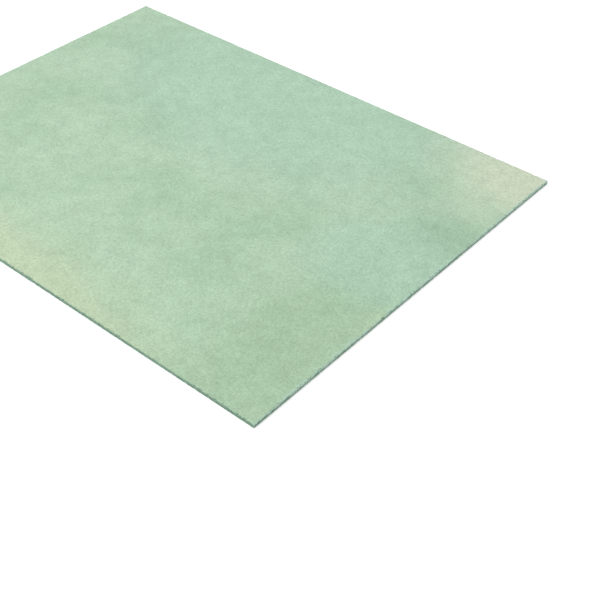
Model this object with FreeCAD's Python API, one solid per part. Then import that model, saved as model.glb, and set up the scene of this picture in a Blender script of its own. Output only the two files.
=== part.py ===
import FreeCAD, Part
import os

# One loose sheet of green wood-fibre softboard, the kind laid as a cushion under a floating floor.
# Millimetres, +Z up. The sheet lies flat with its underside on Z = 0 and its middle on the origin.
# +X runs along the long side and +Y along the short side. All four sides are square saw cuts.

# Driving dimensions
panel_length = 790.0      # long side, along X
panel_width = 590.0       # short side, along Y
panel_thickness = 5.5     # board thickness, along Z
corner_radius = 0.8       # each upright corner, blunted where the soft fibre gives
arris_chamfer = 0.3       # each long edge of both faces, crumbled back by the saw


def sheet_blank():
    """The sheet as sawn to size, with sharp edges."""
    near_left = FreeCAD.Vector(-panel_length / 2, -panel_width / 2, 0)
    return Part.makeBox(panel_length, panel_width, panel_thickness, near_left)


def upright_edges(sheet):
    """The edges that run through the thickness, one at each corner."""
    return [edge for edge in sheet.Edges if edge.BoundBox.ZLength > panel_thickness / 2]


def outline_edges(sheet, level):
    """The edges that go round the face at one level."""
    near = arris_chamfer / 2
    outline = []
    for edge in sheet.Edges:
        box = edge.BoundBox
        if abs(box.ZMin - level) < near and abs(box.ZMax - level) < near:
            outline.append(edge)
    return outline


def blunt_corners(sheet):
    """Rounds the four upright corners."""
    return sheet.makeFillet(corner_radius, upright_edges(sheet))


def ease_arrises(sheet):
    """Takes the sharpness off the edges of the top face and of the underside."""
    arrises = outline_edges(sheet, 0) + outline_edges(sheet, panel_thickness)
    return sheet.makeChamfer(arris_chamfer, arrises)


def underlay_panel():
    """The finished sheet: one piece of board."""
    sheet = sheet_blank()
    sheet = blunt_corners(sheet)
    return ease_arrises(sheet).Solids[0]


os.makedirs("parts", exist_ok=True)
underlay_panel().exportStep("parts/underlay_panel.step")
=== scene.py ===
import bpy
import bmesh
import math
import random
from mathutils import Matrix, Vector, kdtree, noise


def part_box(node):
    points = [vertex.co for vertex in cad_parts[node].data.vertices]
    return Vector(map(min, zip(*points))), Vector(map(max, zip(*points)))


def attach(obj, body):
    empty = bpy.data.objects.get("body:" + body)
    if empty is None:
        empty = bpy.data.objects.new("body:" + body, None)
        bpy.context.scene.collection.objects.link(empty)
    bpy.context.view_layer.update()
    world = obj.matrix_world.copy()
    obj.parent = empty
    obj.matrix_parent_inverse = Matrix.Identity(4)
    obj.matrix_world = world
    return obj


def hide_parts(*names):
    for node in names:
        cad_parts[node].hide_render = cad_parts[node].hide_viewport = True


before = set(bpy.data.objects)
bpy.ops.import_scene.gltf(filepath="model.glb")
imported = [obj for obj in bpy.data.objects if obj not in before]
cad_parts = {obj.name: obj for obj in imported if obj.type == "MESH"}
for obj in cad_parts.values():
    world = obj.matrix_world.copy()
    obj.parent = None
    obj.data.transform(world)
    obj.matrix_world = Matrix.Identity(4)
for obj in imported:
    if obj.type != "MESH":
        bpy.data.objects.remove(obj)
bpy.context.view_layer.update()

mm = 0.001
sheetLow, sheetHigh = (Vector(corner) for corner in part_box("underlay_panel"))
sheetSize = sheetHigh - sheetLow
sheetMiddle = (sheetLow + sheetHigh) / 2
print("stage: the packed sheet is in,", [round(side / mm, 2) for side in sheetSize], "mm")


def linearColour(hexText):
    # an sRGB hex colour as the linear red, green, blue and alpha that the shaders take
    channels = [int(hexText[place:place + 2], 16) / 255 for place in (1, 3, 5)]
    return [c / 12.92 if c <= 0.04045 else ((c + 0.055) / 1.055) ** 2.4 for c in channels] + [1.0]


# Sockets go by name or by number. A Map Range takes a value (0), its range (1, 2) and the new range (3, 4).
# A colour Mix goes from colour 6 to colour 7 by factor 0, and gives output 2.
smooth = {"interpolation_type": "SMOOTHSTEP"}
inColour = {"data_type": "RGBA"}
noiseLow, noiseHigh = 0.3, 0.7   # a noise texture seldom leaves this range


def addNode(tree, kind, settings=None, inputs=None):
    # adds one node, sets its options, and sets or links each of its sockets
    node = tree.nodes.new(kind)
    for name, value in (settings or {}).items():
        setattr(node, name, value)
    for name, value in (inputs or {}).items():
        if isinstance(value, bpy.types.NodeSocket):
            tree.links.new(value, node.inputs[name])
        else:
            node.inputs[name].default_value = value
    return node


# The sheet is a felted mat, sawn on four sides. Lengths are in mm. A pair is for the lower and the upper
# side, or for the least and the most.
sheetForm = {
    "faceCell": 7.9,                # mesh spacing on the two felted faces
    "rimWidths": (8.0, 6.5, 3.5),   # bands along the cuts, in each of which the spacing is halved again
    "cutRows": 11,                  # rows of mesh through the thickness
    "fadeWidth": 4.0,               # how far in from a cut its roughness reaches
    "sawWander": 0.10,              # how far the cut strays from a true line
    "wanderLength": 130.0,
    "wanderSeed": 3.1,
    "frayDepth": 0.55,              # torn hollows between the cut fibres
    "frayLength": 1.9,
    "frayFractal": (0.7, 2.0, 3),   # how fast the finer waves fade, how much finer each is, and their number
    "layerDepth": 0.10,             # the mat's layers, washed out unevenly by the saw
    "layerLength": 16.0,
    "layerHeight": 0.9,
    "arrisDrops": (0.20, 0.48),     # how far each arris has crumbled back
    "arrisHeight": 1.2,             # how far up or down the cut that reaches
    "arrisWidth": 1.6,              # and how far in over the face
    "arrisSink": 0.6,               # the face's share of the drop
    "crumbleLength": 6.0,
    "crumbleSeed": 7.7,
    "cornerDrop": 0.25,             # how much the upright corners are blunted
    "swellDepth": 0.10,             # slow swells of the pressed faces
    "swellLength": 70.0,
    "swellSeeds": (5.9, 11.3),
    "feltDepth": 0.05,              # the felt's own lumps
    "feltLength": 22.0,
    "feltSeeds": (8.3, 2.7),
    "chipsPerMetre": 24,            # small losses along each arris
    "chipRadius": (1.1, 3.0),
    "chipDepth": (0.2, 0.7),
    "chipSlope": 0.6,               # how far a chip goes off the face for each mm into the cut
    "chipSeed": 41,
}


def gapToCut(x, y):
    # how far a point lies in from the nearest saw cut
    return min(x - sheetLow.x, sheetHigh.x - x, y - sheetLow.y, sheetHigh.y - y)


def sawnBlank(form):
    # a grid, finer along the saw cuts, given its thickness and its rows
    blank = bmesh.new()
    cellsAlong, cellsAcross = (round(side / (form["faceCell"] * mm)) for side in sheetSize.xy)
    bmesh.ops.create_grid(blank, x_segments=cellsAlong, y_segments=cellsAcross, size=0.5)
    bmesh.ops.scale(blank, vec=(sheetSize.x, sheetSize.y, 1), verts=blank.verts)
    bmesh.ops.translate(blank, vec=(sheetMiddle.x, sheetMiddle.y, sheetLow.z), verts=blank.verts)
    for width in form["rimWidths"]:
        rim = []   # a list, so that the edges come in the same order in every run
        for edge in blank.edges:
            centres = [face.calc_center_median() for face in edge.link_faces]
            if any(gapToCut(centre.x, centre.y) < width * mm for centre in centres):
                rim.append(edge)
        bmesh.ops.subdivide_edges(blank, edges=rim, cuts=1, use_grid_fill=True)
    lifted = bmesh.ops.extrude_face_region(blank, geom=blank.faces[:])["geom"]
    topVerts = [part for part in lifted if isinstance(part, bmesh.types.BMVert)]
    bmesh.ops.translate(blank, vec=(0, 0, sheetSize.z), verts=topVerts)
    uprights = []
    for edge in blank.edges:
        start, end = edge.verts
        if abs(start.co.z - end.co.z) > sheetSize.z / 2:
            uprights.append(edge)
    bmesh.ops.subdivide_edges(blank, edges=uprights, cuts=form["cutRows"] - 1, use_grid_fill=True)
    bmesh.ops.recalc_face_normals(blank, faces=blank.faces)
    for face in blank.faces:
        face.smooth = True
        face.material_index = 0 if abs(face.normal.z) > 0.5 else 1   # felted face, saw cut
    # each vertex is put exactly on its row, and the rows close up towards the arrises
    for vert in blank.verts:
        row = round((vert.co.z - sheetLow.z) / sheetSize.z * form["cutRows"])
        eased = 0.5 - 0.5 * math.cos(math.pi * row / form["cutRows"])
        vert.co.z = sheetLow.z + sheetSize.z * eased
    return blank


def swell(point, length, seed):
    # a slow unevenness between 0 and 1
    return 0.5 + 0.5 * noise.noise(point / (length * mm) + Vector((seed, -seed, seed)))


def cutDepth(form, point, crumble):
    # how far the torn surface lies in from the true cut, in mm
    layered = Vector((point.x / form["layerLength"],
                      point.y / form["layerLength"],
                      point.z / form["layerHeight"])) / mm
    depth = form["sawWander"] * swell(point, form["wanderLength"], form["wanderSeed"])
    depth += form["frayDepth"] * abs(noise.fractal(point / (form["frayLength"] * mm), *form["frayFractal"]))
    depth += form["layerDepth"] * (0.5 + 0.5 * noise.noise(layered))
    return depth + crumble * (0.5 + swell(point, form["crumbleLength"], form["crumbleSeed"]))


def roughen(blank, form):
    # every move goes inwards, so the sheet stays inside its sawn size
    for vert in blank.verts:
        point = vert.co.copy()
        gaps = {(0, 1): sheetHigh.x - point.x, (0, -1): point.x - sheetLow.x,
                (1, 1): sheetHigh.y - point.y, (1, -1): point.y - sheetLow.y}
        faceGap = min(point.z - sheetLow.z, sheetHigh.z - point.z)
        upper = point.z > sheetMiddle.z
        arrisDrop = form["arrisDrops"][upper]
        crumble = arrisDrop * max(0.0, 1 - faceGap / (form["arrisHeight"] * mm)) ** 2
        for (axis, side), gap in gaps.items():
            fade = max(0.0, 1 - gap / (form["fadeWidth"] * mm)) ** 2
            if fade > 0:
                vert.co[axis] -= side * cutDepth(form, point, crumble) * mm * fade
        if sum(gap < 1e-6 for gap in gaps.values()) == 2:   # on two cuts, so on an upright corner
            for axis in (0, 1):
                vert.co[axis] += math.copysign(form["cornerDrop"] * mm, sheetMiddle[axis] - point[axis])
        sink = form["swellDepth"] * swell(point, form["swellLength"], form["swellSeeds"][upper])
        sink += form["feltDepth"] * swell(point, form["feltLength"], form["feltSeeds"][upper])
        arrisFade = max(0.0, 1 - gapToCut(point.x, point.y) / (form["arrisWidth"] * mm)) ** 2
        sink += arrisDrop * form["arrisSink"] * arrisFade
        weight = max(0.0, 1 - faceGap / (sheetSize.z / 2))
        vert.co.z += (-sink if upper else sink) * mm * weight


def chipArrises(blank, form):
    # small losses where the saw and handling broke fibre bundles out of the arrises
    dice = random.Random(form["chipSeed"])
    finder = kdtree.KDTree(len(blank.verts))
    blank.verts.ensure_lookup_table()
    for vert in blank.verts:
        finder.insert(vert.co, vert.index)
    finder.balance()
    levels = (sheetLow.z, sheetHigh.z)
    for axis, side, level in ((a, s, z) for a in (0, 1) for s in (-1, 1) for z in levels):
        inward = Vector((0, 0, form["chipSlope"] if level < sheetMiddle.z else -form["chipSlope"]))
        inward[1 - axis] = -side
        for chip in range(round(sheetSize[axis] * form["chipsPerMetre"])):
            centre = sheetMiddle.copy()
            centre[axis] = dice.uniform(sheetLow[axis], sheetHigh[axis])
            centre[1 - axis] += side * sheetSize[1 - axis] / 2
            centre.z = level
            radius = dice.uniform(*form["chipRadius"]) * mm
            depth = dice.uniform(*form["chipDepth"]) * mm
            for place, index, distance in finder.find_range(centre, radius):
                blank.verts[index].co += inward * depth * (1 - (distance / radius) ** 2) ** 2


def buildSheet():
    blank = sawnBlank(sheetForm)
    blank.verts.index_update()
    roughen(blank, sheetForm)
    chipArrises(blank, sheetForm)
    mesh = bpy.data.meshes.new("feltedSheet")
    blank.to_mesh(mesh)
    blank.free()
    sheet = bpy.data.objects.new("feltedSheet", mesh)
    bpy.context.scene.collection.objects.link(sheet)
    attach(sheet, "root")
    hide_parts("underlay_panel")
    print("stage: sheet modelled,", sum(len(p.vertices) - 2 for p in mesh.polygons), "triangles")
    return sheet


def emptyMaterial(name):
    # a material, and its node tree with nothing in it yet
    material = bpy.data.materials.new(name)
    material.use_nodes = True
    material.node_tree.nodes.clear()
    return material, material.node_tree


fibreForm = {
    "curlPerMetre": 260.0,    # waves that bend the fibres
    "leastHalfWidth": 0.05,   # mm
}


def shortFibreGroup(form):
    # short fibres strewn at random angles over a flat face, one to each cell of a scatter
    group = bpy.data.node_groups.new("shortFibres", "ShaderNodeTree")
    for name, kind in (("Place", "Vector"), ("Spacing", "Float"), ("Length", "Float"), ("Width", "Float"),
                       ("Seed", "Vector")):
        group.interface.new_socket(name, in_out="INPUT", socket_type="NodeSocket" + kind)
    for name in ("Fibre", "Tone"):
        group.interface.new_socket(name, in_out="OUTPUT", socket_type="NodeSocketFloat")
    given = addNode(group, "NodeGroupInput").outputs

    shifted = addNode(group, "ShaderNodeVectorMath", {"operation": "ADD"},
                      {0: given["Place"], 1: given["Seed"]})
    curl = addNode(group, "ShaderNodeTexNoise",
                   inputs={"Vector": shifted.outputs[0], "Scale": form["curlPerMetre"], "Detail": 1.0})
    centred = addNode(group, "ShaderNodeVectorMath", {"operation": "SUBTRACT"},
                      {0: curl.outputs["Color"], 1: (0.5, 0.5, 0.5)})
    bend = addNode(group, "ShaderNodeVectorMath", {"operation": "SCALE"},
                   {0: centred.outputs[0], "Scale": given["Length"]})
    bent = addNode(group, "ShaderNodeVectorMath", {"operation": "ADD"},
                   {0: shifted.outputs[0], 1: bend.outputs[0]})

    # each cell gives its fibre's middle, and dice for its angle, width and tone
    rate = addNode(group, "ShaderNodeMath", {"operation": "DIVIDE"}, {0: 1.0, 1: given["Spacing"]})
    cells = addNode(group, "ShaderNodeTexVoronoi", {"voronoi_dimensions": "2D", "feature": "F1"},
                    {"Vector": bent.outputs[0], "Scale": rate.outputs[0], "Randomness": 1.0})
    offset = addNode(group, "ShaderNodeVectorMath", {"operation": "SUBTRACT"},
                     {0: bent.outputs[0], 1: cells.outputs["Position"]})
    dice = addNode(group, "ShaderNodeSeparateXYZ", inputs={0: cells.outputs["Color"]})
    angle = addNode(group, "ShaderNodeMath", {"operation": "MULTIPLY"}, {0: dice.outputs["X"], 1: math.tau})
    turned = addNode(group, "ShaderNodeVectorRotate", {"rotation_type": "Z_AXIS"},
                     {"Vector": offset.outputs[0], "Angle": angle.outputs[0]})

    # the fibre fades out at its ends and its sides
    reach = addNode(group, "ShaderNodeSeparateXYZ", inputs={0: turned.outputs[0]})
    along = addNode(group, "ShaderNodeMath", {"operation": "ABSOLUTE"}, {0: reach.outputs["X"]})
    across = addNode(group, "ShaderNodeMath", {"operation": "ABSOLUTE"}, {0: reach.outputs["Y"]})
    ownWidth = addNode(group, "ShaderNodeMath", {"operation": "MULTIPLY_ADD"},
                       {0: dice.outputs["Y"], 1: given["Width"], 2: form["leastHalfWidth"] * mm})
    alongFade = addNode(group, "ShaderNodeMapRange", smooth,
                        {0: along.outputs[0], 2: given["Length"], 3: 1.0, 4: 0.0})
    acrossFade = addNode(group, "ShaderNodeMapRange", smooth,
                         {0: across.outputs[0], 2: ownWidth.outputs[0], 3: 1.0, 4: 0.0})
    fibre = addNode(group, "ShaderNodeMath", {"operation": "MULTIPLY"},
                    {0: alongFade.outputs[0], 1: acrossFade.outputs[0]})
    addNode(group, "NodeGroupOutput", inputs={"Fibre": fibre.outputs[0], "Tone": dice.outputs["Z"]})
    return group


faceFinish = {
    "mint": "#B9D6BA",         # the pulp's dye where it took evenly
    "green": "#A9CAAB",        # greener clouds, where the pulp settled thicker
    "shive": "#DCE6CB",        # pale uncooked fibre bundles
    "darkFibre": "#6F9077",
    "rimHighlight": "#BBDCCB",         # painted highlight, pale and bluer, beside the short sides' cuts where the arris catches the light
    "breakoutShade": "#57776A",        # the darker opened mat, with painted shade in the hollows where fibre bundles broke out of the arris
    "cloudLength": 120.0,      # lengths in mm
    "cloudRange": (0.38, 0.72),
    "cloudStrength": 0.75,
    "patches": (               # colour, strength, middle in half lengths and half widths, reach in mm
        ("#D6E1C7", 0.95, (0.97, 1.06), (205, 185)),
        ("#CADAB6", 0.70, (-0.20, -1.06), (500, 125)),
        ("#A8C7A6", 0.65, (0.95, -0.62), (170, 260)),
        ("#BAD5AE", 0.50, (1.04, -0.20), (50, 90)),
        ("#9CC0A2", 0.60, (0.92, 0.34), (95, 60)),
        ("#AFD3BB", 0.70, (0.86, 0.04), (150, 120)),
        ("#B2D5BE", 0.60, (-0.05, 0.75), (420, 260)),
    ),
    "patchRange": (0.28, 0.95),
    "raggedPerMetre": 18.0,    # waves in the patches' rims
    "raggedDepth": 0.5,
    "tones": (                 # lighter and darker: length in mm, detail, swing to each side
        (20.0, 3.0, 0.06),     # mottle
        (4.2, 2.0, 0.07),      # the felt's own lumps
        (2.0, 5.0, 0.14),      # grain, coarser than the real fibre's 0.3 mm, so that it shows
    ),
    "fibres": (                # spacing, half length, half width, strength; also coarser than real ones
        (8.0, 3.6, 0.60, 0.34),
        (4.6, 2.2, 0.50, 0.36),
        (2.9, 1.4, 0.42, 0.34),
        (1.7, 1.0, 0.16, 0.40),
        (1.1, 0.7, 0.10, 0.40),
    ),
    "darkShare": 0.45,         # of the fibres
    "fibreRelief": 0.5,
    "rimHighlightWidths": (0.5, 8.0),  # the painted highlight's width changes along the cut
    "rimHighlightLength": 14.0,
    "rimHighlightRange": (0.35, 0.65),
    "rimHighlightStrength": 0.85,
    "speckWidth": 3.0,
    "speckLength": 3.6,
    "speckRange": (0.54, 0.62),
    "speckStrength": 0.9,
    "bumpHeight": 0.14,
    "bumpStrength": 0.7,
    "roughness": 0.93,
}


def dyedGround(tree, place, finish):
    # mint pulp with greener clouds, and patches of other tints that fade out along a ragged rim
    clouds = addNode(tree, "ShaderNodeTexNoise",
                     inputs={"Vector": place, "Scale": 1 / (finish["cloudLength"] * mm), "Detail": 2.0,
                             "Roughness": 0.5})
    cloudLow, cloudHigh = finish["cloudRange"]
    cloudMask = addNode(tree, "ShaderNodeMapRange", smooth,
                        {0: clouds.outputs["Fac"], 1: cloudLow, 2: cloudHigh, 3: 0.0,
                         4: finish["cloudStrength"]})
    ground = addNode(tree, "ShaderNodeMix", inColour,
                     {0: cloudMask.outputs[0], 6: linearColour(finish["mint"]),
                      7: linearColour(finish["green"])})
    colour = ground.outputs[2]
    ragged = addNode(tree, "ShaderNodeTexNoise",
                     inputs={"Vector": place, "Scale": finish["raggedPerMetre"], "Detail": 3.0,
                             "Roughness": 0.55})
    patchLow, patchHigh = finish["patchRange"]
    for tint, strength, middle, reach in finish["patches"]:
        centre = (sheetMiddle.x + middle[0] * sheetSize.x / 2,
                  sheetMiddle.y + middle[1] * sheetSize.y / 2, 0)
        spread = addNode(tree, "ShaderNodeMapping", {"vector_type": "TEXTURE"},
                         {"Vector": place, "Location": centre, "Scale": (reach[0] * mm, reach[1] * mm, 1)})
        falloff = addNode(tree, "ShaderNodeTexGradient", {"gradient_type": "SPHERICAL"},
                          {0: spread.outputs[0]})
        shaken = addNode(tree, "ShaderNodeMath", {"operation": "MULTIPLY_ADD"},
                         {0: ragged.outputs["Fac"], 1: finish["raggedDepth"], 2: falloff.outputs["Fac"]})
        patch = addNode(tree, "ShaderNodeMapRange", smooth,
                        {0: shaken.outputs[0], 1: patchLow, 2: patchHigh, 3: 0.0, 4: strength})
        dyed = addNode(tree, "ShaderNodeMix", inColour,
                       {0: patch.outputs[0], 6: colour, 7: linearColour(tint)})
        colour = dyed.outputs[2]
    return colour


def mottledDye(tree, place, finish, colour):
    # mottle, lumps and grain lighten and darken the dye, and the last two give the relief
    light = 1.0
    heights = []
    for length, detail, swing in finish["tones"]:
        texture = addNode(tree, "ShaderNodeTexNoise",
                          inputs={"Vector": place, "Scale": 1 / (length * mm), "Detail": detail,
                                  "Roughness": 0.6})
        swung = addNode(tree, "ShaderNodeMapRange",
                        inputs={0: texture.outputs["Fac"], 1: noiseLow, 2: noiseHigh,
                                3: 1 - swing, 4: 1 + swing})
        product = addNode(tree, "ShaderNodeMath", {"operation": "MULTIPLY"},
                          {0: swung.outputs[0], 1: light})
        light = product.outputs[0]
        heights.append(texture.outputs["Fac"])
    toned = addNode(tree, "ShaderNodeVectorMath", {"operation": "SCALE"}, {0: colour, "Scale": light})
    height = addNode(tree, "ShaderNodeMath", {"operation": "ADD"}, {0: heights[1], 1: heights[2]})
    return toned.outputs[0], height.outputs[0]


def strewnFibres(tree, place, finish, fibres, colour, height):
    # pale and dark fibres on the face, each a little proud of it
    for index, (spacing, length, width, strength) in enumerate(finish["fibres"]):
        layer = addNode(tree, "ShaderNodeGroup", {"node_tree": fibres},
                        {"Place": place, "Spacing": spacing * mm, "Length": length * mm,
                         "Width": width * mm, "Seed": (0.31 * index, 0.17 * index, 0)})
        pale = addNode(tree, "ShaderNodeMath", {"operation": "GREATER_THAN"},
                       {0: layer.outputs["Tone"], 1: finish["darkShare"]})
        tone = addNode(tree, "ShaderNodeMix", inColour,
                       {0: pale.outputs[0], 6: linearColour(finish["darkFibre"]),
                        7: linearColour(finish["shive"])})
        amount = addNode(tree, "ShaderNodeMath", {"operation": "MULTIPLY"},
                         {0: layer.outputs["Fibre"], 1: strength})
        laid = addNode(tree, "ShaderNodeMix", inColour,
                       {0: amount.outputs[0], 6: colour, 7: tone.outputs[2]})
        raised = addNode(tree, "ShaderNodeMath", {"operation": "MULTIPLY_ADD"},
                         {0: layer.outputs["Fibre"], 1: finish["fibreRelief"], 2: height})
        colour = laid.outputs[2]
        height = raised.outputs[0]
    return colour, height


def rimHighlightAndShade(tree, place, finish, colour):
    # a pale, bluer band of painted highlight beside the short sides' cuts, and dark specks of painted shade
    # beside all four
    split = addNode(tree, "ShaderNodeSeparateXYZ", inputs={0: place})
    gaps = []
    for axis in (0, 1):
        off = addNode(tree, "ShaderNodeMath", {"operation": "SUBTRACT"},
                      {0: split.outputs[axis], 1: sheetMiddle[axis]})
        reach = addNode(tree, "ShaderNodeMath", {"operation": "ABSOLUTE"}, {0: off.outputs[0]})
        gap = addNode(tree, "ShaderNodeMath", {"operation": "SUBTRACT"},
                      {0: sheetSize[axis] / 2, 1: reach.outputs[0]})
        gaps.append(gap.outputs[0])

    # painted highlight: a paler, bluer band beside the short sides' cuts, its width wandering along them
    highlightWander = addNode(tree, "ShaderNodeTexNoise",
                    inputs={"Vector": place, "Scale": 1 / (finish["rimHighlightLength"] * mm), "Detail": 3.0,
                            "Roughness": 0.6})
    highlightLow, highlightHigh = finish["rimHighlightRange"]
    least, most = finish["rimHighlightWidths"]
    rimHighlightWidth = addNode(tree, "ShaderNodeMapRange",
                        inputs={0: highlightWander.outputs["Fac"], 1: highlightLow, 2: highlightHigh, 3: least * mm,
                                4: most * mm})
    rimHighlight = addNode(tree, "ShaderNodeMapRange", smooth,
                   {0: gaps[0], 1: 0.0, 2: rimHighlightWidth.outputs[0], 3: finish["rimHighlightStrength"], 4: 0.0})
    highlighted = addNode(tree, "ShaderNodeMix", inColour,
                     {0: rimHighlight.outputs[0], 6: colour, 7: linearColour(finish["rimHighlight"])})

    # painted shade: dark specks in the broken-out hollows beside all four cuts
    nearest = addNode(tree, "ShaderNodeMath", {"operation": "MINIMUM"}, {0: gaps[0], 1: gaps[1]})
    edge = addNode(tree, "ShaderNodeMapRange", smooth,
                   {0: nearest.outputs[0], 1: 0.0, 2: finish["speckWidth"] * mm,
                    3: finish["speckStrength"], 4: 0.0})
    broken = addNode(tree, "ShaderNodeTexNoise",
                     inputs={"Vector": place, "Scale": 1 / (finish["speckLength"] * mm), "Detail": 2.0})
    speckLow, speckHigh = finish["speckRange"]
    torn = addNode(tree, "ShaderNodeMapRange", smooth,
                   {0: broken.outputs["Fac"], 1: speckLow, 2: speckHigh})
    breakoutShade = addNode(tree, "ShaderNodeMath", {"operation": "MULTIPLY"},
                    {0: edge.outputs[0], 1: torn.outputs[0]})
    breakoutShaded = addNode(tree, "ShaderNodeMix", inColour,
                      {0: breakoutShade.outputs[0], 6: highlighted.outputs[2], 7: linearColour(finish["breakoutShade"])})
    return breakoutShaded.outputs[2]


def feltedFaceMaterial(finish, fibres):
    # Wood-fibre softboard, wet-felted from dyed pulp and pressed, so it is matt, cloudy and full of short,
    # crossed fibres
    material, tree = emptyMaterial("feltedSoftboardFace")
    place = addNode(tree, "ShaderNodeTexCoord").outputs["Object"]
    colour = dyedGround(tree, place, finish)
    colour, height = mottledDye(tree, place, finish, colour)
    colour, height = strewnFibres(tree, place, finish, fibres, colour, height)
    colour = rimHighlightAndShade(tree, place, finish, colour)
    relief = addNode(tree, "ShaderNodeBump",
                     inputs={"Height": height, "Strength": finish["bumpStrength"],
                             "Distance": finish["bumpHeight"] * mm})
    board = addNode(tree, "ShaderNodeBsdfPrincipled",
                    inputs={"Base Color": colour, "Roughness": finish["roughness"],
                            "Specular IOR Level": 0.25, "Sheen Weight": 0.08, "Sheen Roughness": 0.6,
                            "Normal": relief.outputs[0]})
    addNode(tree, "ShaderNodeOutputMaterial", inputs={"Surface": board.outputs[0]})
    return material


cutFinish = {
    "hollowShade": "#446655",         # painted shade in the hollows between the cut fibres
    "pitShade": "#385A4C",          # painted shade in pits and tears, the darkest
    "fibre": "#7FA48D",        # the opened mat
    "pale": "#ABCBB2",         # cut fibre ends
    "skinAndHighlight": "#CDE7D9",         # the pressed skin at each arris, lightened as painted highlight
    "grainLength": 0.8,        # lengths in mm
    "layerSize": (6.0, 0.7),   # the felted layers show as faint streaks: length and height
    "layerShare": 0.3,         # of the opened mat's tone
    "matRange": (0.42, 0.68),
    "fleckLength": 1.5,
    "fleckRange": (0.32, 0.52),
    "fleckStrength": 0.7,
    "fleckRelief": 0.8,
    "fibres": (                # spacing, half length and half width in mm, colour, strength
        (2.6, 1.5, 0.16, "pale", 0.8),
        (1.9, 1.1, 0.14, "hollowShade", 0.6),
        (1.2, 0.7, 0.10, "pale", 0.7),
    ),
    "fibreRelief": 0.35,
    "flattening": 2.2,         # pressing lays the fibres near level, so they show flatter on the cut
    "sideBand": (3.0, 2.0),    # how far in from a short side the long sides' cover gives way to its own
    "skinAndHighlightCover": (0.15, 1.0),  # how much of the skin and painted highlight covers, on the long sides and on the short ones
    "skinAndHighlightHeights": (0.5, 4.3), # from the lower arris up, and from the upper one down; the upper is taller, as painted highlight where the top arris catches the light
    "skinRange": (0.3, 1.5),   # where it starts and ends to thin out, in its own heights
    "skinWander": 3.0,         # how far its inner rim moves up and down along a cut, in its own heights
    "washLength": 9.0,         # slow changes of tone along a cut
    "washSwing": (0.86, 1.12),
    "pitSpacing": 1.9,
    "pitShare": 0.45,          # of the scatter's cells
    "pitSize": 0.42,           # the largest pit's half width, in spacings
    "pitFade": 0.26,
    "pitStrength": 0.75,
    "pitRagged": 1.2,          # how far the grain pushes a pit's rim about
    "tearSize": (4.5, 1.3),    # length and height
    "tearRange": (0.52, 0.70),
    "tearStrength": 0.5,
    "tearGain": 0.3,           # more under full cover, so the painted shade is stronger on the short sides
    "bumpHeight": 0.5,
    "bumpStrength": 0.9,
    "roughness": 0.97,
}


def openedMat(tree, finish, grain, layers, flecks):
    # the grainy mat with its faint layers, and painted shade in flecks between the fibres
    body = addNode(tree, "ShaderNodeMix", {"data_type": "FLOAT"},
                   {0: finish["layerShare"], 2: grain.outputs["Fac"], 3: layers.outputs["Fac"]})
    matLow, matHigh = finish["matRange"]
    matTone = addNode(tree, "ShaderNodeMapRange", inputs={0: body.outputs[0], 1: matLow, 2: matHigh})
    opened = addNode(tree, "ShaderNodeMix", inColour,
                     {0: matTone.outputs[0], 6: linearColour(finish["fibre"]),
                      7: linearColour(finish["pale"])})
    fleckLow, fleckHigh = finish["fleckRange"]
    fleckTone = addNode(tree, "ShaderNodeMapRange", smooth,
                        {0: flecks.outputs["Fac"], 1: fleckLow, 2: fleckHigh, 3: finish["fleckStrength"],
                         4: 0.0})
    # painted shade in the low flecks between the fibres
    flecked = addNode(tree, "ShaderNodeMix", inColour,
                      {0: fleckTone.outputs[0], 6: opened.outputs[2], 7: linearColour(finish["hollowShade"])})
    height = addNode(tree, "ShaderNodeMath", {"operation": "MULTIPLY_ADD"},
                     {0: flecks.outputs["Fac"], 1: finish["fleckRelief"], 2: body.outputs[0]})
    return flecked.outputs[2], height.outputs[0]


def cutFibres(tree, finish, fibres, split, colour, height):
    # fibres in the plane of the cut: X and Y added run along all four cuts, and Z goes through the board
    run = addNode(tree, "ShaderNodeMath", {"operation": "ADD"},
                  {0: split.outputs["X"], 1: split.outputs["Y"]})
    climb = addNode(tree, "ShaderNodeMath", {"operation": "MULTIPLY"},
                    {0: split.outputs["Z"], 1: finish["flattening"]})
    plane = addNode(tree, "ShaderNodeCombineXYZ", inputs={"X": run.outputs[0], "Y": climb.outputs[0]})
    for index, (spacing, length, width, tint, strength) in enumerate(finish["fibres"]):
        layer = addNode(tree, "ShaderNodeGroup", {"node_tree": fibres},
                        {"Place": plane.outputs[0], "Spacing": spacing * mm, "Length": length * mm,
                         "Width": width * mm, "Seed": (0.23 * index, 0.41 * index, 0)})
        amount = addNode(tree, "ShaderNodeMath", {"operation": "MULTIPLY"},
                         {0: layer.outputs["Fibre"], 1: strength})
        laid = addNode(tree, "ShaderNodeMix", inColour,
                       {0: amount.outputs[0], 6: colour, 7: linearColour(finish[tint])})
        # the dark fibres are painted shade, sunk like the hollows they stand for
        proud = finish["fibreRelief"] if tint == "pale" else -finish["fibreRelief"]
        raised = addNode(tree, "ShaderNodeMath", {"operation": "MULTIPLY_ADD"},
                         {0: layer.outputs["Fibre"], 1: proud, 2: height})
        colour = laid.outputs[2]
        height = raised.outputs[0]
    return colour, height


def shortSideCover(tree, finish, split):
    # how much skin and painted highlight a cut carries: little on the long sides, and all over on the short
    # ones
    off = addNode(tree, "ShaderNodeMath", {"operation": "SUBTRACT"},
                  {0: split.outputs["X"], 1: sheetMiddle.x})
    reach = addNode(tree, "ShaderNodeMath", {"operation": "ABSOLUTE"}, {0: off.outputs[0]})
    bandStart, bandEnd = (sheetSize.x / 2 - width * mm for width in finish["sideBand"])
    longCover, shortCover = finish["skinAndHighlightCover"]
    cover = addNode(tree, "ShaderNodeMapRange",
                    inputs={0: reach.outputs[0], 1: bandStart, 2: bandEnd, 3: longCover, 4: shortCover})
    return cover.outputs[0]


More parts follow.
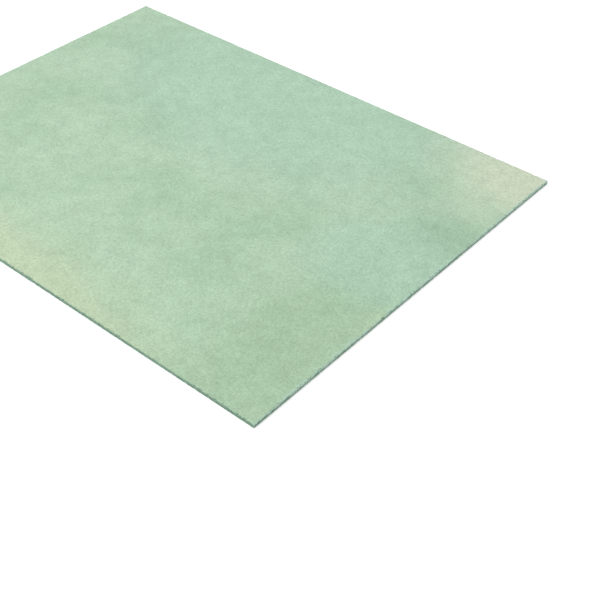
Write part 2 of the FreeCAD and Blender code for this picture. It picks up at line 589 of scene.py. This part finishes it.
def skinAndArrisHighlight(tree, place, finish, split, flecks, cover, colour):
    # the pressed skin at the two arrises, brightened with painted highlight, whose ragged inner rim wanders
    # with the slow wash of tone
    wash = addNode(tree, "ShaderNodeTexNoise",
                   inputs={"Vector": place, "Scale": 1 / (finish["washLength"] * mm), "Detail": 2.0})
    wander = addNode(tree, "ShaderNodeMath", {"operation": "MULTIPLY_ADD"},
                     {0: wash.outputs["Fac"], 1: finish["skinWander"], 2: -finish["skinWander"] / 2})
    ragged = addNode(tree, "ShaderNodeMath", {"operation": "ADD"},
                     {0: flecks.outputs["Fac"], 1: wander.outputs[0]})
    thinStart, thinEnd = finish["skinRange"]
    # pale bands of skin and painted highlight, taller at the upper arris where the light catches it
    for level, bandHeight in zip((sheetLow.z, sheetHigh.z), finish["skinAndHighlightHeights"]):
        gap = addNode(tree, "ShaderNodeMath", {"operation": "SUBTRACT"}, {0: split.outputs["Z"], 1: level})
        away = addNode(tree, "ShaderNodeMath", {"operation": "ABSOLUTE"}, {0: gap.outputs[0]})
        rim = addNode(tree, "ShaderNodeMath", {"operation": "MULTIPLY_ADD"},
                      {0: ragged.outputs[0], 1: bandHeight * mm, 2: away.outputs[0]})
        skinAndHighlight = addNode(tree, "ShaderNodeMapRange", smooth,
                       {0: rim.outputs[0], 1: thinStart * bandHeight * mm, 2: thinEnd * bandHeight * mm,
                        3: 1.0, 4: 0.0})
        covered = addNode(tree, "ShaderNodeMath", {"operation": "MULTIPLY"},
                          {0: skinAndHighlight.outputs[0], 1: cover})
        brightened = addNode(tree, "ShaderNodeMix", inColour,
                          {0: covered.outputs[0], 6: colour, 7: linearColour(finish["skinAndHighlight"])})
        colour = brightened.outputs[2]
    washLow, washHigh = finish["washSwing"]
    washTone = addNode(tree, "ShaderNodeMapRange",
                       inputs={0: wash.outputs["Fac"], 1: noiseLow, 2: noiseHigh, 3: washLow, 4: washHigh})
    washed = addNode(tree, "ShaderNodeVectorMath", {"operation": "SCALE"},
                     {0: colour, "Scale": washTone.outputs[0]})
    return washed.outputs[0]


def pitAndTearShade(tree, place, finish, grain, tears, cover):
    # some cells of a scatter hold a hole with a ragged rim, and tears join them up here and there; the mask
    # gives their painted shade
    shift = addNode(tree, "ShaderNodeVectorMath", {"operation": "SCALE"},
                    {0: grain.outputs["Color"], "Scale": finish["pitRagged"] * mm})
    shaken = addNode(tree, "ShaderNodeVectorMath", {"operation": "ADD"}, {0: place, 1: shift.outputs[0]})
    cells = addNode(tree, "ShaderNodeTexVoronoi", {"feature": "F1"},
                    {"Vector": shaken.outputs[0], "Scale": 1 / (finish["pitSpacing"] * mm),
                     "Randomness": 1.0})
    dice = addNode(tree, "ShaderNodeSeparateXYZ", inputs={0: cells.outputs["Color"]})
    holeSize = addNode(tree, "ShaderNodeMapRange",
                       inputs={0: dice.outputs["X"], 1: 1 - finish["pitShare"], 2: 1.0, 3: 0.0,
                               4: finish["pitSize"]})
    inside = addNode(tree, "ShaderNodeMath", {"operation": "SUBTRACT"},
                     {0: holeSize.outputs[0], 1: cells.outputs["Distance"]})
    hole = addNode(tree, "ShaderNodeMapRange", smooth,
                   {0: inside.outputs[0], 1: 0.0, 2: finish["pitFade"], 3: 0.0, 4: finish["pitStrength"]})
    tearLow, tearHigh = finish["tearRange"]
    strength = addNode(tree, "ShaderNodeMath", {"operation": "MULTIPLY_ADD"},
                       {0: cover, 1: finish["tearGain"], 2: finish["tearStrength"]})
    tear = addNode(tree, "ShaderNodeMapRange", smooth,
                   {0: tears.outputs["Fac"], 1: tearLow, 2: tearHigh, 3: 0.0, 4: strength.outputs[0]})
    dark = addNode(tree, "ShaderNodeMath", {"operation": "MAXIMUM"},
                   {0: hole.outputs[0], 1: tear.outputs[0]})
    return dark.outputs[0]


def sawnCutMaterial(finish, fibres):
    # Saw-cut softboard: the cut opens the mat, so it is darker than the face, grainy, pitted and torn, with
    # painted shade in its hollows, pits and tears, and a pale band at its arrises of pressed skin and
    # painted highlight
    material, tree = emptyMaterial("sawnSoftboardCut")
    place = addNode(tree, "ShaderNodeTexCoord").outputs["Object"]
    split = addNode(tree, "ShaderNodeSeparateXYZ", inputs={0: place})
    grain = addNode(tree, "ShaderNodeTexNoise",
                    inputs={"Vector": place, "Scale": 1 / (finish["grainLength"] * mm), "Detail": 4.0,
                            "Roughness": 0.7})
    flecks = addNode(tree, "ShaderNodeTexNoise",
                     inputs={"Vector": place, "Scale": 1 / (finish["fleckLength"] * mm), "Detail": 3.0,
                             "Roughness": 0.6})
    streaks = []
    for (length, through), detail in ((finish["layerSize"], 3.0), (finish["tearSize"], 4.0)):
        drawn = addNode(tree, "ShaderNodeMapping", {"vector_type": "POINT"},
                        {"Vector": place, "Location": (through, through, through),
                         "Scale": (1 / (length * mm), 1 / (length * mm), 1 / (through * mm))})
        streak = addNode(tree, "ShaderNodeTexNoise",
                         inputs={"Vector": drawn.outputs[0], "Scale": 1.0, "Detail": detail,
                                 "Roughness": 0.6})
        streaks.append(streak)
    layers, tears = streaks

    colour, height = openedMat(tree, finish, grain, layers, flecks)
    colour, height = cutFibres(tree, finish, fibres, split, colour, height)
    cover = shortSideCover(tree, finish, split)
    colour = skinAndArrisHighlight(tree, place, finish, split, flecks, cover, colour)
    dark = pitAndTearShade(tree, place, finish, grain, tears, cover)
    # painted shade in the pits and tears, which the relief also sinks
    pitShaded = addNode(tree, "ShaderNodeMix", inColour, {0: dark, 6: colour, 7: linearColour(finish["pitShade"])})
    sunk = addNode(tree, "ShaderNodeMath", {"operation": "SUBTRACT"}, {0: height, 1: dark})
    relief = addNode(tree, "ShaderNodeBump",
                     inputs={"Height": sunk.outputs[0], "Strength": finish["bumpStrength"],
                             "Distance": finish["bumpHeight"] * mm})
    board = addNode(tree, "ShaderNodeBsdfPrincipled",
                    inputs={"Base Color": pitShaded.outputs[2], "Roughness": finish["roughness"],
                            "Specular IOR Level": 0.2, "Normal": relief.outputs[0]})
    addNode(tree, "ShaderNodeOutputMaterial", inputs={"Surface": board.outputs[0]})
    return material


# Floor, light and camera, in metres
stageSetup = {
    "floorSide": 12.0,
    "floorColour": "#F2F2F2",
    "floorLift": 0.35,      # extra white where the floor is only looked at, over which a shadow still shows
    "skyStrength": 0.70,
    "keyPower": 45.5,       # W
    "keySide": 2.4,
    "keyPlace": (-1.0, -1.7, 3.0),
    "viewAzimuth": 40.74,   # degrees, round from the front to the right
    "viewElevation": 41.15,
    "viewDistance": 1.343,
    "viewTarget": (0.751, -0.360),   # in half lengths and half widths of the sheet
    "lens": 67.3,           # mm, on a sensor 36 mm wide
}


def seenOnly(tree):
    # 1 for rays that show the background, straight, in a gloss or through glass, and 0 for those that light
    # the sheet
    rays = addNode(tree, "ShaderNodeLightPath")
    seen = rays.outputs["Is Camera Ray"]
    for kind in ("Is Glossy Ray", "Is Transmission Ray"):
        either = addNode(tree, "ShaderNodeMath", {"operation": "MAXIMUM"},
                         {0: seen, 1: rays.outputs[kind]})
        seen = either.outputs[0]
    return seen


def whiteFloor(setup):
    plate = bmesh.new()
    bmesh.ops.create_grid(plate, x_segments=1, y_segments=1, size=setup["floorSide"] / 2)
    bmesh.ops.translate(plate, vec=(0, 0, sheetLow.z), verts=plate.verts)
    mesh = bpy.data.meshes.new("floor")
    plate.to_mesh(mesh)
    plate.free()
    floor = bpy.data.objects.new("floor", mesh)
    bpy.context.scene.collection.objects.link(floor)
    material, tree = emptyMaterial("mattWhiteFloor")
    matt = addNode(tree, "ShaderNodeBsdfDiffuse", inputs={"Color": linearColour(setup["floorColour"])})
    extra = addNode(tree, "ShaderNodeMath", {"operation": "MULTIPLY"},
                    {0: seenOnly(tree), 1: setup["floorLift"]})
    lift = addNode(tree, "ShaderNodeEmission", inputs={"Strength": extra.outputs[0]})
    both = addNode(tree, "ShaderNodeAddShader", inputs={0: matt.outputs[0], 1: lift.outputs[0]})
    addNode(tree, "ShaderNodeOutputMaterial", inputs={"Surface": both.outputs[0]})
    mesh.materials.append(material)


def softLight(setup):
    # an even white sky, and one large soft lamp from the front left
    world = bpy.data.worlds.new("sky")
    bpy.context.scene.world = world
    world.use_nodes = True
    tree = world.node_tree
    tree.nodes.clear()
    strength = addNode(tree, "ShaderNodeMapRange",
                       inputs={0: seenOnly(tree), 3: setup["skyStrength"], 4: 1.0})
    sky = addNode(tree, "ShaderNodeBackground",
                  inputs={"Color": (1, 1, 1, 1), "Strength": strength.outputs[0]})
    addNode(tree, "ShaderNodeOutputWorld", inputs={"Surface": sky.outputs[0]})
    lamp = bpy.data.lights.new("key", "AREA")
    lamp.shape = "SQUARE"
    lamp.size = setup["keySide"]
    lamp.energy = setup["keyPower"]
    key = bpy.data.objects.new("key", lamp)
    key.location = setup["keyPlace"]
    key.rotation_euler = (-Vector(setup["keyPlace"])).to_track_quat("-Z", "Y").to_euler()
    bpy.context.scene.collection.objects.link(key)


def placeCamera(setup):
    azimuth = math.radians(setup["viewAzimuth"])
    elevation = math.radians(setup["viewElevation"])
    back = Vector((math.sin(azimuth) * math.cos(elevation),
                   -math.cos(azimuth) * math.cos(elevation),
                   math.sin(elevation)))
    target = Vector((sheetMiddle.x + setup["viewTarget"][0] * sheetSize.x / 2,
                     sheetMiddle.y + setup["viewTarget"][1] * sheetSize.y / 2, sheetLow.z))
    lens = bpy.data.cameras.new("camera")
    lens.lens = setup["lens"]
    lens.sensor_width = 36.0
    camera = bpy.data.objects.new("camera", lens)
    camera.location = target + back * setup["viewDistance"]
    camera.rotation_euler = (-back).to_track_quat("-Z", "Y").to_euler()
    bpy.context.scene.collection.objects.link(camera)
    bpy.context.scene.camera = camera


placeCamera(stageSetup)
whiteFloor(stageSetup)
softLight(stageSetup)
bpy.context.scene.view_settings.view_transform = "Standard"
print("stage: camera, floor and light placed")

sheet = buildSheet()
fibres = shortFibreGroup(fibreForm)
sheet.data.materials.append(feltedFaceMaterial(faceFinish, fibres))
sheet.data.materials.append(sawnCutMaterial(cutFinish, fibres))
print("stage: finishes on")
